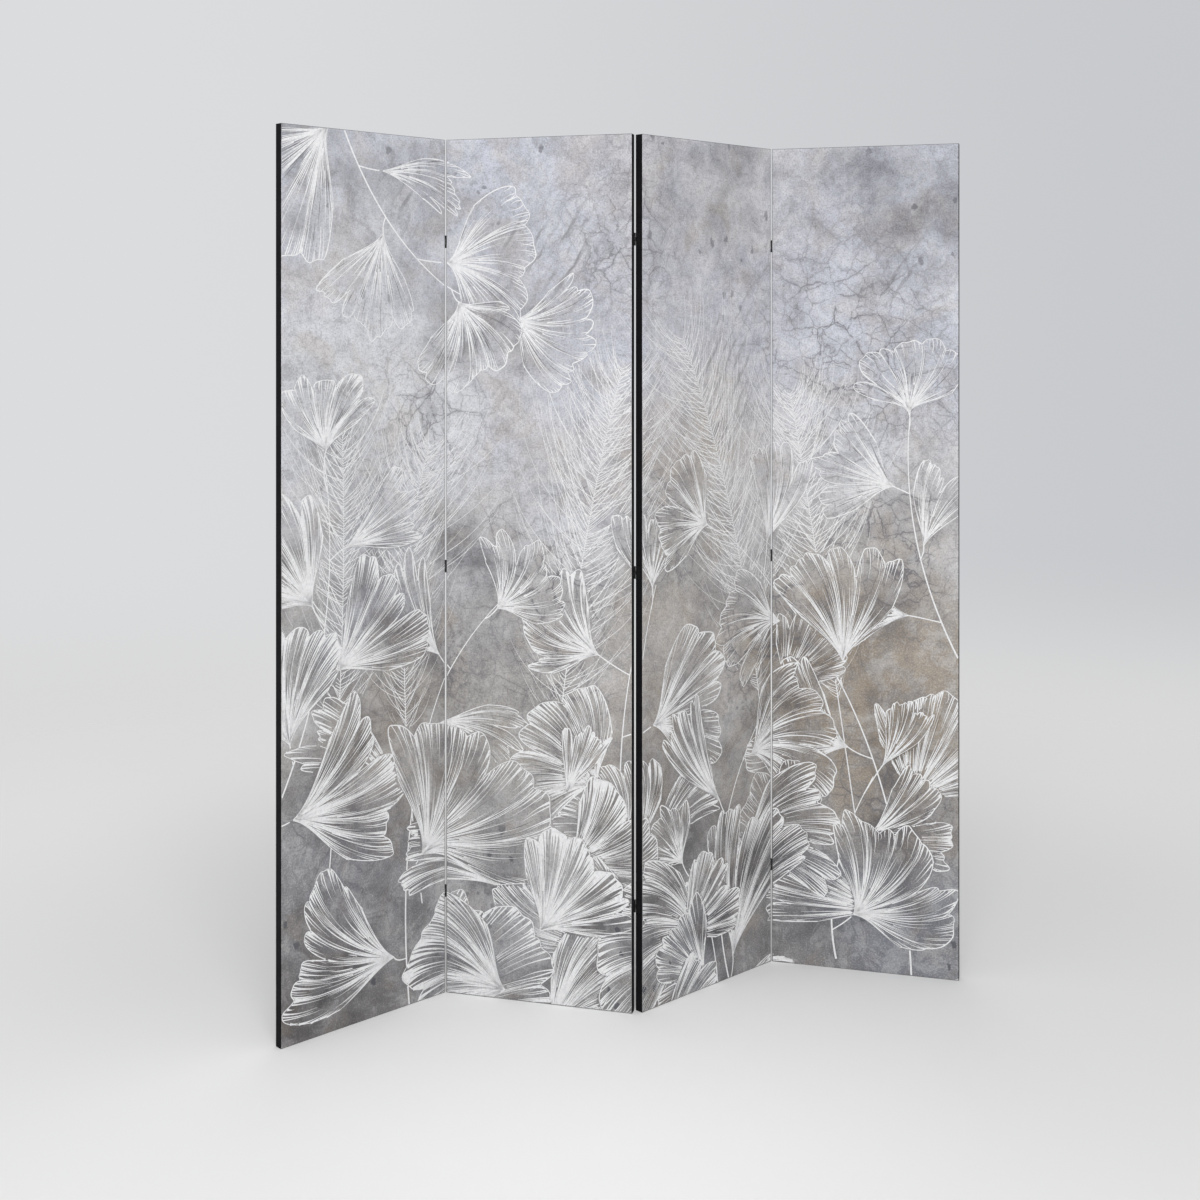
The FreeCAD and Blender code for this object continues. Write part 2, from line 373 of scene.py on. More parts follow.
def leaf_outline(has_outer_knuckles, notch_depth):
    """The leaf's edge in v and z: far corners rounded, notches for the other leaf's knuckles."""
    half = LEAF_HEIGHT / 2
    turns = [math.radians(18 * step) for step in range(6)]
    corner = [(LEAF_CORNER * math.sin(turn), LEAF_CORNER * math.cos(turn)) for turn in turns]
    inner, top = LEAF_DEPTH - LEAF_CORNER, half - LEAF_CORNER
    outline = [(inner + v, -top - z) for v, z in corner]
    outline += [(inner + v, top + z) for v, z in reversed(corner)]
    edge = []
    for stretch in range(KNUCKLES):
        own = (stretch % 2 == 0) == has_outer_knuckles
        trim = KNUCKLE_GAP / 2 if own else -KNUCKLE_GAP / 2
        low = stretch * KNUCKLE_PITCH - half + (trim if stretch > 0 else 0)
        high = (stretch + 1) * KNUCKLE_PITCH - half - (trim if stretch < KNUCKLES - 1 else 0)
        depth = 0.0 if own else notch_depth
        edge += [(depth, low), (depth, high)]
    return outline + edge[::-1]


def into_panel(place, fold_half_gap):
    """Takes v, z and how deep a point lies under the front of the leaf."""
    front_u = LEAF_THICKNESS - fold_half_gap
    return lambda v, z, depth: place(front_u - depth, v, z)


def hinge_leaf(solid, has_outer_knuckles, place, fold_half_gap):
    """A pressed leaf with countersunk holes and its rolled knuckles."""
    knuckle = fold_half_gap - KNUCKLE_CLEARANCE
    holes = []
    for z in SCREW_LEVELS:
        holes.append([circle(radius + HOLE_SLACK, SCREW_INSET, z) for radius in (SCREW_HEAD, SCREW_SHANK)])
    outer = leaf_outline(has_outer_knuckles, knuckle + KNUCKLE_NOTCH)
    solid.plate(outer, holes, into_panel(place, fold_half_gap), LEAF_THICKNESS)
    bore = PIN_RADIUS + PIN_SLACK
    for stretch in range(KNUCKLES):
        if (stretch % 2 == 0) == has_outer_knuckles:
            low = stretch * KNUCKLE_PITCH - LEAF_HEIGHT / 2 + KNUCKLE_GAP / 2
            high = low + KNUCKLE_PITCH - KNUCKLE_GAP
            rim = knuckle - KNUCKLE_CHAMFER
            ring = [(bore, low), (rim, low), (knuckle, low + KNUCKLE_CHAMFER)]
            ring += [(knuckle, high - KNUCKLE_CHAMFER), (rim, high), (bore, high)]
            solid.turned(ring, place, KNUCKLE_SIDES, closed=True)


def hinge_pin(solid, place):
    """The pin, with its ends riveted to low domes."""
    half = (LEAF_HEIGHT - KNUCKLE_GAP) / 2
    dome = [(PIN_RADIUS * math.cos(t), half + PIN_PROUD * math.sin(t)) for t in (0.0, 0.5, 0.9, 1.25)]
    profile = [(r, -along) for r, along in reversed(dome)] + dome
    solid.turned(profile, place, PIN_SIDES)


def leaf_screws(solid, place, fold_half_gap):
    """Two countersunk screws with a cross recess and a ridged shank."""
    inwards = into_panel(place, fold_half_gap)
    profile = [(SCREW_HEAD - RECESS_DEPTH, RECESS_DEPTH), (SCREW_SHANK, LEAF_THICKNESS)]
    depth = 2 * LEAF_THICKNESS
    while depth < SCREW_LENGTH - SCREW_TIP:
        profile += [(SCREW_CORE, depth), (SCREW_SHANK, depth + SCREW_PITCH / 3)]
        depth += SCREW_PITCH
    profile.append((SCREW_POINT, SCREW_LENGTH))
    for z in SCREW_LEVELS:
        solid.turned(profile, inwards, SCREW_SIDES, (SCREW_INSET, z))
        recess = cross(RECESS_REACH, RECESS_WIDTH, SCREW_INSET, z)
        solid.plate(circle(SCREW_HEAD, SCREW_INSET, z), [(recess, recess)], inwards, RECESS_DEPTH)


def make_hinges(number, left, right, material):
    """The hinges of one fold: the leaves, pins and screws, each a piece that takes its CAD node's place.

    They are drawn as on a left-hand panel whose face folds inwards, with the pin on the z axis. u runs
    across the fold, v into the panel and z up.
    """
    fold = "fold_" + str(number)
    joint = next(joint for joint in frame["joints"] if joint["name"] == fold)
    left_pin, right_pin = (panel.frame.inverted() @ Vector(joint["pos_m"]) for panel in (left, right))
    half_gap = left_pin.x - left.end
    inwards = 1 if left_pin.y < left.depth / 2 else -1

    def placed(pin, side, level):
        return lambda u, v, z: (pin.x + side * u, pin.y + inwards * v, level + z)

    solids = {part: Solid() for part in HINGE_PARTS}
    for level in (HINGE_INSET, left.height / 2, left.height - HINGE_INSET):
        on_left = placed(left_pin, 1, level)
        on_right = placed(right_pin, -1, level)
        hinge_leaf(solids["left_leaves"], True, on_left, half_gap)
        hinge_leaf(solids["right_leaves"], False, on_right, half_gap)
        hinge_pin(solids["pins"], on_left)
        leaf_screws(solids["left_screws"], on_left, half_gap)
        leaf_screws(solids["right_screws"], on_right, half_gap)
    for part, solid in solids.items():
        panel = right if part.startswith("right") else left
        obj = piece(fold + "_fine_" + part, panel, solid.points, solid.faces, material, smooth=False)
        outward_faces(obj.data)
        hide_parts(fold + "_" + part)


def outward_faces(mesh):
    """Turns every face outwards and smooths all but the sharp edges."""
    work = bmesh.new()
    work.from_mesh(mesh)
    bmesh.ops.remove_doubles(work, verts=work.verts, dist=1e-7)
    bmesh.ops.recalc_face_normals(work, faces=work.faces)
    for face in work.faces:
        face.smooth = True
    for edge in work.edges:
        edge.smooth = edge.calc_face_angle(0) < SHARP_EDGE
    work.to_mesh(mesh)
    work.free()
    mesh.update()


# Print: fan-shaped leaves and plumes in fine white line, with dark hairlines in their folds

Stroke = namedtuple("Stroke", "path widths dark", defaults=(False,))


class Fan:
    """A fan-shaped leaf: its veins leave the base together and end at a lobed, ruffled rim."""

    def __init__(self, rng, base, heading, radius, spread, weight):
        self.base = np.array(base, float)
        self.heading = heading
        self.radius = radius
        self.spread = spread
        self.weight = weight
        self.curl = rng.uniform(-0.3, 0.3)
        self.lobes = int(rng.integers(5, 10))
        self.borders = np.linspace(-1, 1, self.lobes + 1)
        self.borders[1:-1] += rng.uniform(-0.12, 0.12, self.lobes - 1)
        self.notches = rng.uniform(0.03, 0.16, self.lobes + 1)
        self.notches[rng.integers(1, self.lobes)] = rng.uniform(0.25, 0.5)
        self.reaches = rng.uniform(0.86, 1.08, self.lobes)
        self.ruffles = [(rng.uniform(14, 22), rng.uniform(0, 6.3), 0.014)]
        self.ruffles += [(rng.uniform(30, 48), rng.uniform(0, 6.3), 0.008)]

    def rim(self, share):
        """The rim's distance from the base at a share of the half spread, from -1 to 1."""
        share = np.asarray(share, float)
        middles = (self.borders[:-1] + self.borders[1:]) / 2
        reach = np.interp(share, middles, self.reaches)
        for border, notch in zip(self.borders, self.notches):
            reach = reach - notch * np.exp(-np.abs(share - border) / 0.06)
        for rate, phase, size in self.ruffles:
            reach = reach + size * np.sin(rate * share + phase)
        reach = reach * (1 - 0.35 * smoothstep(np.abs(share), 0.82, 1.0))
        return self.radius * reach

    def flare(self, distance):
        """How much of the spread the veins have reached at a distance, as they leave the stalk together."""
        return 1 - 0.5 * np.exp(-distance / (0.2 * self.radius))

    def swerve(self, distance):
        """How far the leaf's curl has turned the veins at a distance."""
        return self.curl * (distance / self.radius) ** 2

    def points(self, share, distance):
        turn = self.heading + self.spread * share * self.flare(distance) + self.swerve(distance)
        return self.base + np.stack([np.cos(turn) * distance, np.sin(turn) * distance], -1)

    def covers(self, points):
        offset = points - self.base
        distance = np.hypot(offset[:, 0], offset[:, 1])
        turn = np.arctan2(offset[:, 1], offset[:, 0]) - self.heading - self.swerve(distance)
        turn = (turn + math.pi) % (2 * math.pi) - math.pi
        share = turn / (self.spread * self.flare(distance))
        return (np.abs(share) < 1) & (distance < self.rim(np.clip(share, -1, 1)))

    def vein(self, share, start, end, widths, sway=0.0, dark=False):
        count = max(4, int(abs(end - start) / LONGEST_DASH) + 2)
        along = np.linspace(0, 1, count)
        path = self.points(share + sway * np.sin(along * math.pi), start + (end - start) * along)
        return Stroke(path, np.interp(along, np.linspace(0, 1, len(widths)), widths), dark)

    def strokes(self, rng):
        """Veins from the base, hatching in from the rim, and the outline. A heavy leaf is nearly white."""
        strokes = []
        gap = max(CLOSEST_VEINS, WIDEST_VEINS - CLOSER_BY_WEIGHT * self.weight)
        for lobe in range(self.lobes):
            low, high = self.borders[lobe], self.borders[lobe + 1]
            count = max(3, int(self.radius * self.spread * (high - low) / gap))
            places = (np.arange(count) + rng.uniform(0.2, 0.8, count)) / count
            shares = low + (high - low) * (places * 0.45 + 0.55 * (0.5 - 0.5 * np.cos(math.pi * places)))
            spacing = self.spread * (high - low) / count
            bold = rng.uniform(0.5, 1.5)
            for share, place in zip(np.clip(shares, -0.99, 0.99), places):
                strokes += self.vein_pair(rng, float(share), abs(2 * place - 1), spacing, bold)
        return strokes + self.outline(rng)

    def vein_pair(self, rng, share, fold, spacing, bold):
        rim = float(self.rim(share))
        end = rim * float(np.clip(0.35 + 0.5 * fold + rng.uniform(-0.25, 0.3), 0.2, 0.97))
        start = self.radius * (rng.uniform(0.12, 0.4) if rng.random() < 0.3 else rng.uniform(0.01, 0.06))
        thin = rng.uniform(*THIN_WIDTHS)
        pair = []
        if end - start > SHORTEST_VEIN:
            root = max(thin, spacing * start * 1.3)
            swell = max(thin, spacing * (start + end) / 2 * bold * self.weight * rng.uniform(0.2, 1.5))
            pair.append(self.vein(share, start, end, (root, swell, thin, HAIR_END), rng.normal(0, 0.012)))
        if rng.random() < 0.15 + 0.45 * fold:
            shade = (FAINT_END, rng.uniform(*SHADE_WIDTHS), FAINT_END)
            beside = share + 0.5 * spacing / self.spread
            first, last = sorted(rng.uniform(0.08, 0.9, 2) * rim)
            pair.append(self.vein(beside, first, last + 0.01, shade, rng.normal(0, 0.006), dark=True))
        if rng.random() < 0.75:
            inner = rim * (1 - rng.uniform(0.06, 0.34) * (0.5 + 0.8 * self.weight))
            edge = max(thin, spacing * rim * self.weight * bold * rng.uniform(0.4, 1.3))
            hatch = (edge, thin, HAIR_END)
            aside = share + rng.normal(0, 0.004)
            pair.append(self.vein(aside, rim * 0.995, inner, hatch, rng.normal(0, 0.008)))
        return pair

    def outline(self, rng):
        count = max(60, int(self.radius * 2 * self.spread / RIM_STEP))
        share = np.linspace(-1, 1, count)
        pen = np.interp(np.arange(count), np.linspace(0, count, 16), rng.uniform(0, 1, 16))
        strokes = [Stroke(self.points(share, self.rim(share)), RIM_WIDTH + RIM_SWELL * pen ** 2)]
        for side in (-1.0, 1.0):
            strokes.append(self.vein(side, 0.0, float(self.rim(side)), BORDER_WIDTHS))
        return strokes


def arc(start, bend, end, along):
    """Points on a curve from start to end, drawn towards bend."""
    start, bend, end = (np.array(point, float) for point in (start, bend, end))
    along = along[:, None]
    return (1 - along) ** 2 * start + 2 * along * (1 - along) * bend + along ** 2 * end


def spray(rng, start, bend, end, count, radius, weight):
    """Fan leaves on stalks along an arching stem, the largest and heaviest near its start."""
    stem = arc(start, bend, end, np.linspace(0, 1, STEM_PLACES))
    along = np.linspace(0, 1, STEM_POINTS)
    strokes = [Stroke(arc(start, bend, end, along), STEM_WIDTH * (1 - 0.6 * along))]
    fans = []
    for number in range(count):
        place = (number + 0.7) / count
        here = int(min(place, 0.99) * (STEM_PLACES - 2))
        run = stem[here + 1] - stem[here]
        tangent = math.atan2(run[1], run[0])
        side = 1 if number % 2 else -1
        lean = side * rng.uniform(0.45, 1.25) if number < count - 1 else rng.uniform(-0.2, 0.2)
        stalk = rng.uniform(*STALK_LENGTHS)
        base = stem[here] + stalk * np.array([math.cos(tangent + lean), math.sin(tangent + lean)])
        size = radius * (1.15 - 0.5 * place) * rng.uniform(0.8, 1.15)
        spread = rng.uniform(0.35, 0.6) if rng.random() < 0.25 else rng.uniform(0.75, 1.3)
        heavy = float(np.clip(weight * (1.1 - 0.6 * place) + rng.uniform(-0.3, 0.3), 0.05, HEAVIEST))
        fans.append(Fan(rng, base, tangent + lean * 1.1, size, spread, heavy))
        middle = (stem[here] + base) / 2 + rng.normal(0, 0.006, 2)
        strokes.append(Stroke(arc(stem[here], middle, base, np.linspace(0, 1, 8)), np.full(8, STALK_WIDTH)))
    return fans, strokes


def plume(rng, start, bend, end, barb):
    """A feathery seed head: a curved stem with long fine barbs that sweep towards its tip."""
    length = math.dist(start, end) * 1.1
    count = int(length / BARB_SPACING)
    along = np.linspace(0, 1, count)
    stem = arc(start, bend, end, along)
    run = np.gradient(stem, axis=0)
    heading = np.arctan2(run[:, 1], run[:, 0])
    strokes = [Stroke(stem, PLUME_WIDTH * (1 - 0.75 * along))]
    for here in range(int(count * BARE_SHARE), count):
        place = (along[here] - BARE_SHARE) / (1 - BARE_SHARE)
        longest = barb * math.sin(math.pi * (place * 0.9 + 0.05)) ** 0.7
        for side in (-1, 1):
            reach = longest * rng.uniform(0.35, 1.25)
            steps = max(6, int(reach / BARB_STEP))
            out = np.linspace(0, 1, steps)
            lean = rng.uniform(0.45, 1.25)
            straighter = rng.uniform(0.55, 0.95)
            turn = heading[here] + side * (0.05 + lean * (1 - straighter * out))
            stride = np.stack([np.cos(turn), np.sin(turn)], -1) * reach / (steps - 1)
            path = stem[here] + np.concatenate([np.zeros((1, 2)), np.cumsum(stride[:-1], 0)])
            widths = np.interp(out, (0, 0.4, 1), (0.0014, rng.uniform(0.0006, 0.0015), FAINT_END))
            strokes.append(Stroke(path, widths))
    return strokes


# start, bend, end, leaves, leaf radius, weight
SPRAYS = (
    ((1.50, -0.22), (1.54, 0.66), (1.00, 0.98), 8, 0.29, 0.80),
    ((1.10, -0.10), (0.92, 0.30), (1.22, 0.60), 6, 0.27, 1.30),
    ((0.86, -0.16), (0.70, 0.44), (0.84, 0.86), 7, 0.27, 1.60),
    ((0.34, -0.22), (0.20, 0.50), (0.52, 0.82), 7, 0.29, 0.80),
    ((-0.08, 0.34), (0.16, 0.70), (0.10, 1.12), 6, 0.28, 1.40),
    ((0.62, -0.14), (0.50, 0.12), (0.66, 0.42), 6, 0.25, 2.00),
    ((1.34, 0.02), (1.30, 0.20), (1.42, 0.42), 4, 0.23, 0.80),
    ((0.80, -0.20), (0.92, 0.06), (0.80, 0.30), 5, 0.24, 1.90),
    ((1.02, -0.18), (1.06, 0.06), (0.94, 0.26), 4, 0.22, 1.30),
    ((0.10, 1.90), (0.22, 1.50), (0.56, 1.40), 6, 0.24, 0.45),
    ((1.68, 0.55), (1.46, 0.86), (1.50, 1.22), 5, 0.21, 0.40),
)

# start, bend, end, longest barb
PLUMES = (
    ((1.20, 0.20), (1.16, 0.90), (0.92, 1.36), 0.30),
    ((0.60, 0.10), (0.66, 0.86), (0.78, 1.30), 0.28),
    ((0.34, 0.20), (0.24, 0.84), (0.36, 1.14), 0.25),
    ((1.40, 0.20), (1.30, 0.90), (1.24, 1.24), 0.26),
    ((0.10, 0.20), (0.16, 0.80), (0.14, 1.20), 0.25),
)


def left_showing(strokes, fans_in_front):
    """The stretches of the strokes that no leaf in front covers."""
    points = np.concatenate([stroke.path for stroke in strokes])
    hidden = np.zeros(len(points), bool)
    for fan in fans_in_front:
        near = np.hypot(*(points - fan.base).T) < fan.radius * 1.2
        near &= ~hidden
        if near.any():
            hidden[near] = fan.covers(points[near])
    shown = []
    start = 0
    for path, widths, dark in strokes:
        here = hidden[start:start + len(path)]
        start += len(path)
        shown += [Stroke(path[low:high], widths[low:high], dark) for low, high in open_runs(here)]
    return shown


def open_runs(closed):
    """The stretches of two points or more where closed is False."""
    changes = np.flatnonzero(np.diff(np.concatenate([[True], closed, [True]]).astype(int)))
    return [(low, high) for low, high in zip(changes[::2], changes[1::2]) if high - low > 1]


def shade_at(points, fans):
    """How dark the ground is at each point: darker round a leaf's base, but less so round a white leaf's."""
    places = np.array([(s, z) for s, _, z in points])
    light = np.ones(len(places))
    for fan in fans:
        heart = fan.points(0, 0.3 * fan.radius)
        off = np.hypot(*(places - heart).T) / (0.6 * fan.radius)
        light *= 1 - 0.6 * fan.weight * (1.9 - fan.weight) * np.exp(-off ** 2)
    return 1 - light


def make_print():
    """The leaves of the print, and all its strokes that show."""
    rng = np.random.default_rng(PRINT_SEED)
    fans = []
    stems = []
    for row in SPRAYS:
        made, strokes = spray(rng, *row)
        fans += made
        stems += strokes
    fans.sort(key=lambda fan: fan.base[1] + rng.uniform(-0.18, 0.18))
    shown = []
    for number, fan in enumerate(fans):
        shown += left_showing(fan.strokes(rng), fans[:number])
    shown += left_showing(stems, fans)
    for row in PLUMES:
        shown += left_showing(plume(rng, *row), fans)
    return fans, shown


def cut_to(stroke, low, high):
    """The stretches of a stroke with s from low to high, with new points where it crosses them."""
    path, widths, _ = stroke
    s = path[:, 0]
    if s.max() <= low or s.min() >= high:
        return []
    if s.min() >= low and s.max() <= high:
        return [(path, widths)]
    table = np.column_stack([path, widths])
    rows = [table[0]]
    for before, after in zip(table[:-1], table[1:]):
        crossed = [line for line in (low, high) if (before[0] - line) * (after[0] - line) < 0]
        crossed.sort(key=lambda line: abs(line - before[0]))
        rows += [before + (after - before) * (line - before[0]) / (after[0] - before[0]) for line in crossed]
        rows.append(after)
    table = np.array(rows)
    outside = (table[:, 0] < low - 1e-7) | (table[:, 0] > high + 1e-7)
    return [(table[start:end, :2], table[start:end, 2]) for start, end in open_runs(outside)]


def ribbons(strokes, low, high, top):
    """Flat strips along the strokes, kept inside the face: points, faces and which faces are dark."""
    foot = 2 * ARRIS_RADIUS
    points = []
    faces = []
    dark = []
    for number, stroke in enumerate(strokes):
        lift = -INK_LIFT if stroke.dark else -(INK_LIFT + INK_STEP * (1 + number % INK_LEVELS))
        for path, widths in cut_to(stroke, low, high):
            run = np.gradient(path, axis=0)
            normal = np.stack([-run[:, 1], run[:, 0]], -1)
            normal /= np.maximum(np.linalg.norm(normal, axis=1, keepdims=True), 1e-9)
            half = normal * widths[:, None] / 2
            sides = np.stack([path + half, path - half], 1).reshape(-1, 2)
            keep = (path[:, 1] > foot) & (path[:, 1] < top)
            sides = np.clip(sides, (low, foot), (high, top))
            start = len(points)
            points += [(s, lift, z) for s, z in sides]
            for step in range(len(path) - 1):
                if keep[step] or keep[step + 1]:
                    a = start + 2 * step
                    faces.append((a, a + 1, a + 3, a + 2))
                    dark.append(stroke.dark)
    return points, faces, dark


def printed_lines(panel, strokes, white, grey):
    """The print's line work on one panel, a hair in front of its canvas.

    The grey lines lie beside the white ones in the texture map.
    """
    edge = CLOTH_THICKNESS + ARRIS_RADIUS
    points, faces, dark = ribbons(strokes, panel.start + edge, panel.end - edge, panel.height - edge)
    aside = np.zeros(len(points))
    aside[[index for face, is_dark in zip(faces, dark) if is_dark for index in face]] = panel.width
    flat = [(s + shift, z) for (s, _, z), shift in zip(points, aside)]
    obj = piece(panel.name + "_printed_lines", panel, points, faces, white, smooth=False, flat=flat)
    obj.data.materials.append(grey)
    obj.data.polygons.foreach_set("material_index", [int(is_dark) for is_dark in dark])
    return obj


# Materials


def put(near, kind, settings=None, **sockets):
    """Adds a node to near's tree, with its settings, and fills or links its sockets by name."""
    node = near.id_data.nodes.new("ShaderNode" + kind)
    for name, value in (settings or {}).items():
        setattr(node, name, value)
    for name, value in sockets.items():
        fill(node.inputs[name.replace("_", " ")], value)
    return node


def fill(socket, value):
    if isinstance(value, bpy.types.NodeSocket):
        socket.id_data.links.new(value, socket)
    else:
        socket.default_value = value


def filled(kind, settings, *values):
    """Adds a node whose first sockets take the values in order."""
    near = next(value for value in values if isinstance(value, bpy.types.NodeSocket))
    node = put(near, kind, settings)
    for socket, value in zip(node.inputs, values):
        fill(socket, value)
    return node


def sums(operation, *values):
    return filled("Math", {"operation": operation}, *values).outputs[0]


def times(product, *factors):
    for factor in factors:
        product = sums("MULTIPLY", product, factor)
    return product


def mixed(share, low, high, kind="MIX"):
    """One colour or another, by a share from 0 to 1."""
    node = put(share, "Mix", {"data_type": "RGBA", "blend_type": kind})
    fill(node.inputs[0], share)
    fill(node.inputs[6], low)
    fill(node.inputs[7], high)
    return node.outputs[2]


def layered(colour, layers):
    """A colour with others laid over it, each by its own share."""
    for share, layer in layers:
        colour = mixed(share, colour, layer)
    return colour


def between(value, low, high, to_low=0.0, to_high=1.0):
    """A value's place between low and high, eased, from to_low to to_high."""
    ends = {"From_Min": low, "From_Max": high, "To_Min": to_low, "To_Max": to_high}
    return put(value, "MapRange", {"interpolation_type": "SMOOTHSTEP"}, Value=value, **ends).outputs[0]


def mapped(place, scale=(1, 1, 1), turn=0.0, move=(0, 0, 0)):
    """The place turned in the plane of the panel and stretched."""
    return put(place, "Mapping", Vector=place, Scale=scale, Rotation=(0, turn, 0), Location=move).outputs[0]


def noise(place, scale, detail=4.0, roughness=0.55, distortion=0.0, move=None):
    """Random values about 0.5. move takes them from elsewhere, so that two noises differ."""
    if move:
        place = mapped(place, move=move)
    sizes = {"Scale": scale, "Detail": detail, "Roughness": roughness, "Distortion": distortion}
    return put(place, "TexNoise", Vector=place, **sizes).outputs["Fac"]


def along(place, axis):
    return put(place, "SeparateXYZ", Vector=place).outputs[axis]


def distance_to(place, spot):
    return filled("VectorMath", {"operation": "DISTANCE"}, place, spot).outputs["Value"]


def bent(place, scale, reach, detail=4.0):
    """The place pushed about at random, by up to half the reach each way."""
    wobble = put(place, "TexNoise", Vector=place, Scale=scale, Detail=detail, Roughness=0.6)
    start = mapped(place, move=(-reach / 2, -reach / 2, -reach / 2))
    values = (wobble.outputs["Color"], (reach, reach, reach), start)
    return filled("VectorMath", {"operation": "MULTIPLY_ADD"}, *values).outputs[0]


def patches(place, spots):
    """How far a place lies within the spots, each written as s, z, radius and strength."""
    share = 0.0
    for s, z, radius, strength in spots:
        within = between(distance_to(place, (s, 0, z)), radius, 0.0, 0, strength)
        share = sums("MAXIMUM", share, within)
    return share


def cells(place, scale, feature="F1"):
    return put(place, "TexVoronoi", {"feature": feature}, Vector=place, Scale=scale).outputs


def written(near, name):
    """A value kept at the points of a piece."""
    return put(near, "Attribute", {"attribute_name": name}).outputs["Fac"]


def srgb(red, green, blue):
    """A colour written in picture levels from 0 to 255."""
    levels = [level / 255 for level in (red, green, blue)]
    return tuple(x / 12.92 if x <= 0.04045 else ((x + 0.055) / 1.055) ** 2.4 for x in levels) + (1.0,)


def new_material(name, **shader):
    material = bpy.data.materials.new(name)
    material.use_nodes = True
    material.node_tree.nodes.clear()
    surface = put(material.node_tree, "BsdfPrincipled", **shader)
    put(surface, "OutputMaterial", Surface=surface.outputs[0]).is_active_output = True
    return material, surface, put(surface, "TexCoord").outputs["Object"]


def cover(surface, colour, height, strength, distance):
    """Gives a surface its colour and its bumps."""
    bump = put(surface, "Bump", Height=height, Strength=strength, Distance=distance)
    fill(surface.inputs["Base Color"], colour)
    fill(surface.inputs["Normal"], bump.outputs[0])


def weave(place, pitch):
    """The height of a plain weave, with threads along s and z, or along v where it turns a side."""
    normal = put(place, "TexCoord").outputs["Normal"]
    waves = []
    for axis in ("X", "Z"):
        turned = sums("ABSOLUTE", along(normal, axis))
        run = sums("MULTIPLY_ADD", along(place, "Y"), turned, along(place, axis))
        waves.append(sums("SINE", times(run, math.pi / pitch)))
    return sums("MULTIPLY_ADD", *waves, times(noise(place, 900.0, 2.0), 0.9))


PLASTER_COOL = srgb(213, 216, 229)
PLASTER_PALE = srgb(240, 241, 245)
PLASTER_LIGHT = srgb(238, 238, 239)
PLASTER_WARM = srgb(197, 194, 190)
PLASTER_DARK = srgb(124, 123, 126)
PLASTER_DEEP = srgb(112, 110, 112)
PLASTER_SLATE = srgb(136, 144, 160)
PLASTER_PORE = srgb(80, 81, 88)
PLASTER_TAN = srgb(178, 157, 128)
PLASTER_BLUSH = srgb(205, 193, 183)
PLASTER_CRACK = srgb(98, 96, 103)
INK_WHITE = srgb(249, 249, 250)
INK_WHITE_THIN = srgb(226, 226, 228)
INK_GREY = srgb(94, 93, 95)
INK_GREY_THIN = srgb(130, 128, 128)
CLOTH_DARK = srgb(16, 16, 18)
CLOTH_DUSTY = srgb(26, 26, 29)
CLOTH_RUBBED = srgb(46, 46, 50)
# Painted highlight on the tops of the cloth's threads.
CLOTH_THREAD_HIGHLIGHT = srgb(43, 43, 46)
CLOTH_SLUBS = srgb(42, 42, 45)
PINE_PALE = srgb(222, 190, 140)
PINE_DARK = srgb(196, 156, 104)
PAINT_DARK = srgb(22, 22, 24)
PAINT_WORN = srgb(34, 34, 36)
ZINC_DARK = srgb(160, 162, 166)
ZINC_WORN = srgb(205, 206, 208)

# s, z, radius, strength
COOL_PATCHES = ((0.45, 1.50, 0.60, 0.9), (1.50, 1.30, 0.50, 0.9), (0.30, 1.05, 0.30, 0.6))
TAN_PATCHES = (
    (1.42, 0.62, 0.50, 0.80), (0.98, 1.18, 0.34, 0.42), (0.22, 0.55, 0.26, 0.30), (0.72, 0.50, 0.30, 0.35),
    (0.99, 1.60, 0.46, 0.22),
)
PALE_PATCHES = (
    (0.20, 1.22, 0.58, 0.95), (0.18, 1.50, 0.36, 0.60), (0.15, 0.98, 0.30, 0.60), (0.70, 0.60, 0.26, 0.40),
    (0.62, 0.20, 0.34, 0.75), (1.25, 1.05, 0.38, 0.65), (1.00, 0.56, 0.26, 0.45), (1.46, 1.00, 0.36, 0.75),
)
DARK_PATCHES = (
    (0.10, 0.10, 0.50, 1.00), (0.16, 0.56, 0.30, 1.00), (0.46, 0.92, 0.20, 0.70), (0.97, 0.78, 0.18, 0.70),
    (1.28, 0.26, 0.26, 0.35), (1.44, 1.72, 0.32, 0.80), (1.00, 1.72, 0.32, 0.40),
)
SLATE_PATCHES = (
    (0.16, 0.30, 0.30, 0.70), (0.52, 0.10, 0.26, 0.50), (1.46, 0.14, 0.34, 0.75), (0.95, 0.12, 0.22, 0.50),
)
CRACK_PATCHES = (
    (1.38, 1.30, 0.46, 1.0), (0.34, 1.16, 0.34, 0.9), (0.78, 1.60, 0.28, 0.8), (1.18, 0.72, 0.40, 1.0),
    (0.60, 0.66, 0.30, 1.0), (1.46, 0.40, 0.32, 1.0), (0.12, 0.40, 0.26, 0.9), (1.46, 0.92, 0.34, 1.0),
    (0.64, 0.88, 0.32, 1.0), (0.30, 0.72, 0.26, 0.9), (0.92, 0.94, 0.26, 0.9),
)
SCRATCH_PATCHES = (
    (0.62, 1.56, 0.20, 0.8), (1.06, 1.30, 0.18, 0.8), (0.26, 1.62, 0.14, 0.5), (1.46, 1.52, 0.16, 0.6),
)
SCRATCH_SLANT = math.radians(-33)
SCRATCH_RATE = 2 * math.pi / 0.024
SPECK_SLANT = math.radians(25)

# From one height to another
WARMER_BELOW = (1.22, 0.55)
DARKER_BELOW = (0.95, 0.35)
PORES_AT_TOP = (1.15, 1.6)
PORES_AT_FOOT = (0.6, 0.15)

# scale, reach of the bends, width as a share of a cell, strength
CRACK_NETS = ((12.5, 0.055, 0.10, 0.85), (25.0, 0.028, 0.12, 0.70))

